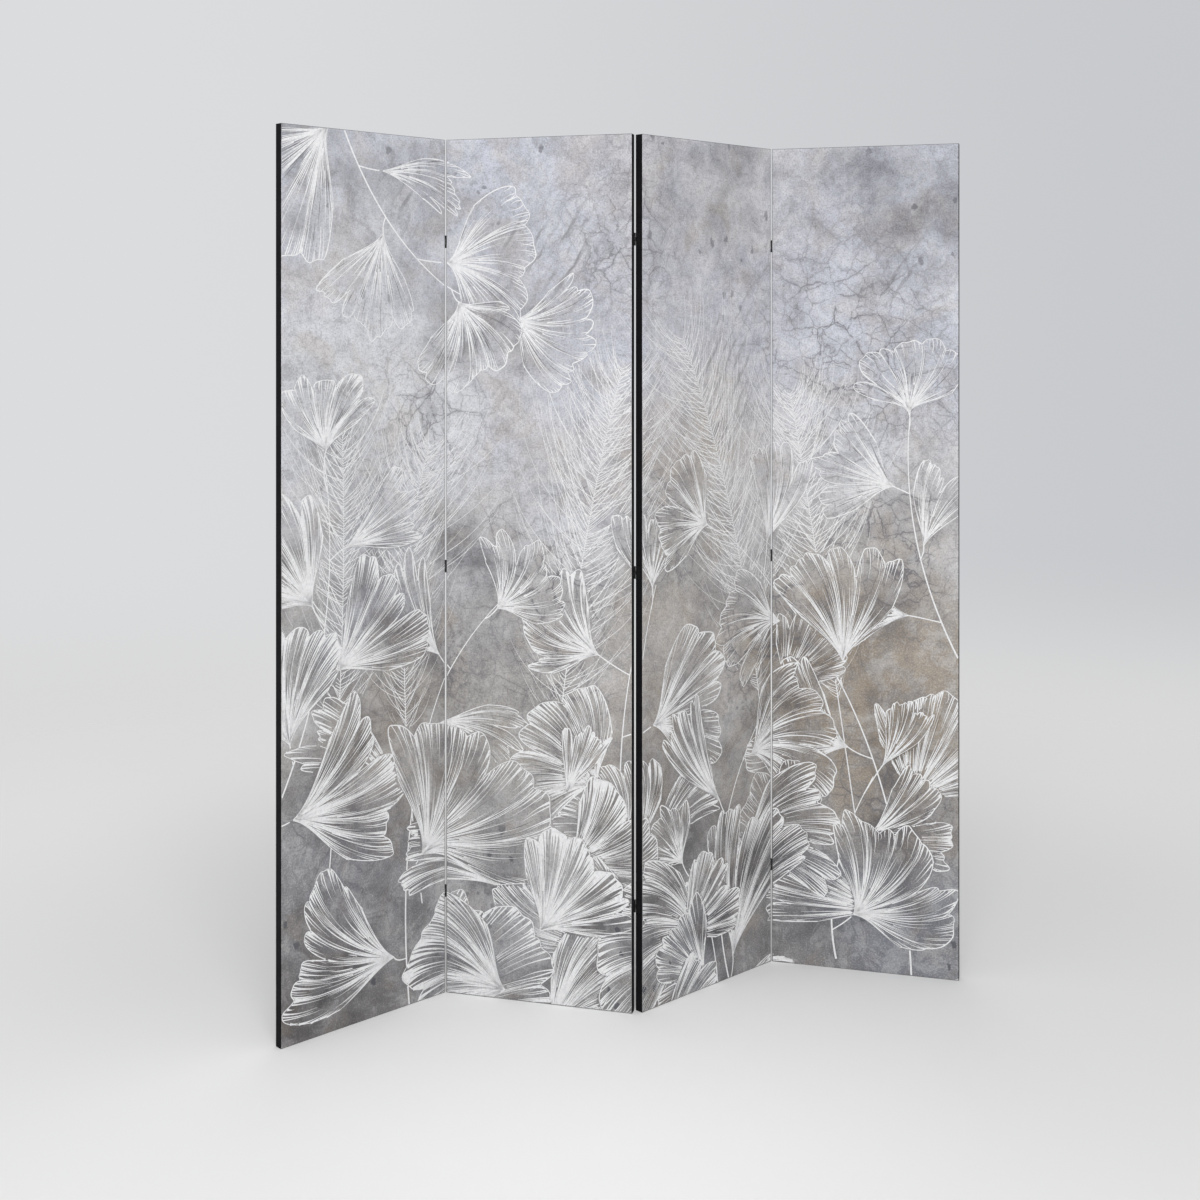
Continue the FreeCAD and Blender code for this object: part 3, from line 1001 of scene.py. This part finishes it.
# scale, detail, roughness, distortion, move
PLASTER_NOISES = {
    "broad": (1.7, 5.0, 0.55, 0.6),
    "drift": (2.6, 6.0, 0.6, 0.4, (4, 0, 9)),
    "cloud": (7.0, 9.0, 0.62, 0.3, (1, 0, 3)),
    "mottle": (19.0, 7.0, 0.6, 0.5, (8, 0, 4)),
    "grain": (85.0, 6.0, 0.7),
    "flecks": (300.0, 6.0, 0.7, 0.0, (5, 0, 5)),
    "blush": (2.2, 6.0, 0.6, 0.8, (7, 0, 2)),
    "ochre": (9.0, 8.0, 0.65, 0.6, (6, 0, 1)),
    "chips": (13.0, 12.0, 0.74, 0.9, (2, 0, 7)),
}

# colour, noise, two of its values, and the colour's share at each
PLASTER_LAYERS = (
    (PLASTER_BLUSH, "blush", 0.52, 0.70, 0, 0.45),
    (PLASTER_DARK, "mottle", 0.38, 0.60, 0.16, 0),
    (PLASTER_DARK, "cloud", 0.36, 0.62, 0.18, 0),
    (PLASTER_TAN, "ochre", 0.50, 0.64, 0, 0.26),
    (PLASTER_LIGHT, "chips", 0.50, 0.57, 0, 0.30),
    (PLASTER_DARK, "chips", 0.47, 0.40, 0, 0.30),
    (PLASTER_DARK, "grain", 0.36, 0.56, 0.26, 0),
    (PLASTER_DARK, "flecks", 0.36, 0.50, 0.46, 0),
    (PLASTER_LIGHT, "flecks", 0.50, 0.66, 0, 0.45),
)


def plaster_canvas():
    """Old plaster printed on canvas: cool above, dark below, with pores, cracks, scratches and stains, and
    painted shade in the hollows between the canvas's threads.
    """
    material, surface, place = new_material("printed_canvas", Roughness=0.72)
    height = along(place, "Z")
    wandering = bent(place, 2.6, 0.5, 6.0)
    noises = {name: noise(place, *sizes) for name, sizes in PLASTER_NOISES.items()}

    swing = times(sums("SUBTRACT", noises["broad"], 0.5), 2.0)
    warmth = between(sums("ADD", height, swing), *WARMER_BELOW)
    clouded = sums("ADD", height, times(noises["cloud"], 0.7))
    blotched = between(noises["mottle"], 0.3, 0.6, 0.45, 1.0)
    layers = [
        (patches(wandering, COOL_PATCHES), PLASTER_COOL),
        (between(noises["drift"], 0.5, 0.68, 0, 0.8), PLASTER_PALE),
        (between(clouded, *DARKER_BELOW, 0, 0.62), PLASTER_DARK),
        (patches(wandering, SLATE_PATCHES), PLASTER_SLATE),
        (patches(wandering, PALE_PATCHES), PLASTER_PALE),
        (times(patches(wandering, TAN_PATCHES), blotched), PLASTER_TAN),
    ]
    layers += [(between(noises[name], *ends), layer) for layer, name, *ends in PLASTER_LAYERS]
    colour = layered(mixed(warmth, PLASTER_COOL, PLASTER_WARM), layers)

    shade = sums("MAXIMUM", written(place, "shade"), patches(wandering, DARK_PATCHES))
    sooty = between(noises["cloud"], 0.32, 0.62, 1.0, 0.4)
    colour = mixed(times(shade, sooty), colour, PLASTER_DEEP, "MULTIPLY")
    threads = weave(place, CANVAS_THREAD)
    marks = (
        (pores(place, height), PLASTER_PORE),
        (cracks(place, wandering), PLASTER_CRACK),
        (scratches(place, wandering), PLASTER_DARK),
        # Painted shade: darker in the hollows between the canvas's threads.
        (between(threads, -0.7, 0.5, 0.22, 0), PLASTER_DARK),
    )
    cover(surface, layered(colour, marks), threads, 0.5, 0.00015)
    return material


def pores(place, height):
    """How dark the pores are: gathered in patches, with single specks most near the top and the floor."""
    wavy = bent(place, 30.0, 0.02)
    hole = between(cells(wavy, 70.0)["Distance"], 0.42, 0.22)
    patch = between(noise(place, 2.4, 4.0, 0.6, 0.5, (3, 0, 5)), 0.56, 0.70, 0, 0.5)
    ragged = mapped(bent(place, 75.0, 0.022, 6.0), turn=SPECK_SLANT, scale=(1.5, 1, 1))
    specks = cells(ragged, 19.0)
    size = times(specks["Color"], 0.24)
    speck = between(specks["Distance"], size, times(size, 0.7))
    chosen = between(specks["Color"], 0.42, 0.50)
    spread = between(noise(place, 4.0, 3.0, move=(2, 0, 6)), 0.40, 0.55)
    top = between(height, *PORES_AT_TOP, 0, 0.55)
    foot = between(height, *PORES_AT_FOOT, 0, 0.95)
    single = times(speck, chosen, sums("MAXIMUM", top, foot), spread)
    return sums("MAXIMUM", times(hole, patch), single)


def cracks(place, wandering):
    """How dark the cracks are: a broken net of wide and fine lines in a few patches."""
    wear = noise(place, 20.0, 4.0, 0.6)
    lines = 0.0
    for scale, reach, width, strength in CRACK_NETS:
        crooked = bent(place, scale * 0.9, reach, 5.0)
        off = cells(crooked, scale, "DISTANCE_TO_EDGE")["Distance"]
        open_width = times(sums("POWER", wear, 2.0), width)
        line = between(off, open_width, 0.0, 0, strength)
        halo = between(off, width, 0.0, 0, 0.22 * strength)
        lines = sums("MAXIMUM", lines, sums("MAXIMUM", line, halo))
    broken = between(wear, 0.36, 0.48)
    return times(lines, broken, patches(wandering, CRACK_PATCHES))


def scratches(place, wandering):
    """How dark the scratches are: short slanting strokes, side by side in groups as a trowel leaves them."""
    slanted = mapped(bent(place, 7.0, 0.05), turn=SCRATCH_SLANT)
    across = along(slanted, "X")
    stroke = between(sums("SINE", times(across, SCRATCH_RATE)), 0.1, 0.95)
    ragged = between(noise(mapped(slanted, scale=(60, 1, 9)), 1.0, 4.0, 0.6), 0.44, 0.62)
    return times(stroke, ragged, patches(wandering, SCRATCH_PATCHES))


def ink(name, solid, thin):
    """Printed ink, a little thin in places and between the canvas's threads."""
    material, surface, place = new_material(name, Roughness=0.6)
    threads = weave(place, CANVAS_THREAD)
    covered = between(noise(place, 160.0, 6.0, 0.7), 0.30, 0.60)
    layers = ((covered, solid), (between(threads, -0.7, 0.4, 0.45, 0), thin))
    cover(surface, layered(thin, layers), threads, 0.4, 0.00012)
    return material


def black_cloth():
    """Black cotton, a little dusty, rubbed paler on the bars, with a painted highlight on the tops of its
    threads.
    """
    shine = {"Specular IOR Level": 0.06, "Sheen Weight": 0.01, "Sheen Roughness": 0.5}
    material, surface, place = new_material("black_cloth", Roughness=0.8, **shine)
    dust = noise(place, 35.0, 6.0, 0.6)
    slubs = noise(mapped(place, scale=(40, 40, 600)), 1.0, 3.0)
    threads = weave(place, CLOTH_THREAD)
    rubbed = times(written(place, "rubbed"), between(dust, 0.3, 0.75, 0.3, 0.6))
    layers = (
        (between(dust, 0.3, 0.75), CLOTH_DUSTY),
        (rubbed, CLOTH_RUBBED),
        # Painted highlight: lighter on the tops of the threads.
        (between(threads, 0.0, 1.2, 0, 0.50), CLOTH_THREAD_HIGHLIGHT),
        (between(slubs, 0.55, 0.75, 0, 0.4), CLOTH_SLUBS),
    )
    cover(surface, layered(CLOTH_DARK, layers), threads, 0.7, 0.0003)
    return material


def pine():
    material, surface, place = new_material("pine", Roughness=0.55)
    grain = noise(mapped(place, scale=(60, 60, 3)), 1.0, 6.0, 0.6, 1.2)
    colour = mixed(between(grain, 0.3, 0.7), PINE_PALE, PINE_DARK)
    cover(surface, colour, grain, 0.3, 0.0003)
    return material


def worn_metal(name, dark, light, dull, bright, scale, strength, **shader):
    """Paint or plating, lighter and shinier where it is worn."""
    material, surface, place = new_material(name, **shader)
    worn = noise(place, scale, 5.0, 0.65)
    fill(surface.inputs["Roughness"], between(worn, 0.3, 0.7, dull, bright))
    colour = mixed(between(worn, 0.3, 0.7), dark, light)
    cover(surface, colour, worn, strength, 0.0001)
    return material


# Set

# Painted light: the backdrop is lighter to the left than to the right.
BACKDROP_LEFT = srgb(219, 220, 222)
BACKDROP_RIGHT = srgb(199, 201, 204)
BACKDROP_LOW = srgb(217, 217, 217)
FLOOR_COLOUR = srgb(226, 226, 226)
# Painted light: the floor as the camera sees it is lighter than its own colour, and lighter to the left.
FLOOR_SEEN_LEFT = srgb(246, 246, 246)
FLOOR_SEEN_RIGHT = srgb(235, 235, 235)
# Painted light: the floor glows in a pool near the front and further out.
FLOOR_GLOW_PLACE = (-0.25, -0.60, 0)
FLOOR_GLOW_REACH = 1.2
FLOOR_GLOW = 0.11
FAR_GLOW = 0.08
FAR_GLOW_REACH = (0.9, 2.3)
BACKDROP_TURN = (-0.05, 0.60)
BACKDROP_FOOT = (-0.12, -0.22)
FLOOR_TURN = (-0.2, 1.8)
WHITE = (1, 1, 1, 1)


def seen_directly(near):
    """1 for what the camera sees, straight on, in a reflection or through glass."""
    path = put(near, "LightPath")
    seen = sums("ADD", path.outputs["Is Camera Ray"], path.outputs["Is Glossy Ray"])
    return sums("MINIMUM", sums("ADD", seen, path.outputs["Is Transmission Ray"]), 1.0)


def make_world():
    world = bpy.data.worlds.new("studio")
    bpy.context.scene.world = world
    world.use_nodes = True
    world.node_tree.nodes.clear()
    way = put(world.node_tree, "TexCoord").outputs["Generated"]
    # Painted light: the backdrop is lighter to the left than the right.
    wall = mixed(between(along(way, "X"), *BACKDROP_TURN), BACKDROP_LEFT, BACKDROP_RIGHT)
    colour = mixed(between(along(way, "Z"), *BACKDROP_FOOT), wall, BACKDROP_LOW)
    backdrop = put(way, "Background", Color=colour, Strength=1.0)
    light = put(way, "Background", Color=WHITE, Strength=AMBIENT_LIGHT)
    both = filled("MixShader", None, seen_directly(way), light.outputs[0], backdrop.outputs[0])
    put(way, "OutputWorld", Surface=both.outputs[0])


def make_floor():
    """A pale disc that fades out, so that no edge shows behind the screen. Where the camera sees it, it has
    painted light: lighter to the left, and glowing in a pool near the front and further out.
    """
    bpy.ops.mesh.primitive_circle_add(vertices=96, radius=FLOOR_RADIUS, fill_type="NGON")
    floor = bpy.context.object
    floor.name = "floor"
    material, surface, place = new_material("floor", Roughness=0.9, Emission_Color=WHITE)
    seen = seen_directly(place)
    # Painted light: lighter where the camera sees the floor, and lighter to the left than the right.
    shown = mixed(between(along(place, "X"), *FLOOR_TURN), FLOOR_SEEN_LEFT, FLOOR_SEEN_RIGHT)
    fill(surface.inputs["Base Color"], mixed(seen, FLOOR_COLOUR, shown))
    middle = distance_to(place, (0, 0, 0))
    # Painted light: where the camera sees it, the floor glows in a pool near the front and further out.
    near_glow = between(distance_to(place, FLOOR_GLOW_PLACE), FLOOR_GLOW_REACH, 0.0, 0, FLOOR_GLOW)
    far_glow = between(middle, *FAR_GLOW_REACH, 0, FAR_GLOW)
    fill(surface.inputs["Emission Strength"], times(sums("ADD", near_glow, far_glow), seen))
    solid = between(middle, FLOOR_FADE_RADIUS, FLOOR_SOLID_RADIUS)
    clear = put(place, "BsdfTransparent").outputs[0]
    both = filled("MixShader", None, solid, clear, surface.outputs[0])
    output = next(node for node in material.node_tree.nodes if node.type == "OUTPUT_MATERIAL")
    fill(output.inputs["Surface"], both.outputs[0])
    floor.data.materials.append(material)


# place, what it points at, width, height, power
LIGHTS = {
    "key": ((-1.0, -4.6, 3.4), (0, 0, 0.7), 3.2, 2.4, 132.0),
    "back_fill": ((1.2, 4.8, 3.2), (0, 0, 0.9), 3.2, 2.4, 26.0),
}


def make_lights():
    """A large soft light before the screen, from the left, and a weak one behind it."""
    for name, (place, target, width, height, power) in LIGHTS.items():
        data = bpy.data.lights.new(name, "AREA")
        data.shape = "RECTANGLE"
        data.size = width
        data.size_y = height
        data.energy = power
        light = new_object(name, data)
        light.location = place
        light.rotation_euler = (Vector(target) - light.location).to_track_quat("-Z", "Y").to_euler()


def make_camera():
    data = bpy.data.cameras.new("camera")
    data.lens = CAMERA_LENS
    data.shift_y = CAMERA_RISE
    camera = new_object("camera", data)
    camera.location = CAMERA_PLACE
    camera.rotation_euler = (math.radians(90), 0, -math.radians(CAMERA_YAW_DEG))
    bpy.context.scene.camera = camera


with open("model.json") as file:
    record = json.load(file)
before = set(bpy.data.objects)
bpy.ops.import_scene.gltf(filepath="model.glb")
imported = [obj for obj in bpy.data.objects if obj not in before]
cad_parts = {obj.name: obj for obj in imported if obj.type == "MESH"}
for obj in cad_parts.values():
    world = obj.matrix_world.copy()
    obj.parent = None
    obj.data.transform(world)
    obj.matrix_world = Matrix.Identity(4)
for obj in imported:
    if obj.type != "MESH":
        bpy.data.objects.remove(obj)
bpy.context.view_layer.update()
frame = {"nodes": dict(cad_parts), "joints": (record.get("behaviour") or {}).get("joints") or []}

half_bend = math.radians(-frame["joints"][0]["range_deg"][0]) / 2
panels = [
    Panel("panel_" + str(number + 1), half_bend if number % 2 == 0 else -half_bend, number)
    for number in range(4)
]
canvas_material = plaster_canvas()
white_ink = ink("white_ink", INK_WHITE, INK_WHITE_THIN)
grey_ink = ink("grey_ink", INK_GREY, INK_GREY_THIN)
cloth_material = black_cloth()
fans, strokes = make_print()
for panel in panels:
    canvas = front_canvas(panel, fans, canvas_material)
    lines = printed_lines(panel, strokes, white_ink, grey_ink)
    cloth = backing_cloth(panel, cloth_material)
    canvas_flat = panel.flat_size(panel.depth + TURN_IN - CLOTH_THICKNESS)
    cloth_flat = panel.flat_size(panel.depth - CLOTH_STOP)

wood = pine()
black_paint = worn_metal("black_paint", PAINT_DARK, PAINT_WORN, 0.5, 0.38, 260.0, 0.25)
zinc = worn_metal("zinc_steel", ZINC_DARK, ZINC_WORN, 0.42, 0.3, 240.0, 0.2, Metallic=1.0)
for number in (1, 2, 3):
    make_hinges(number, panels[number - 1], panels[number], black_paint)
finishes = {("stile", "rail"): wood, ("staples",): zinc, HINGE_PARTS: black_paint}
for name, node in frame["nodes"].items():
    for endings, material in finishes.items():
        if name.endswith(endings):
            node.data.materials.clear()
            node.data.materials.append(material)

make_world()
make_floor()
make_lights()
make_camera()
bpy.context.scene.view_settings.view_transform = "Standard"
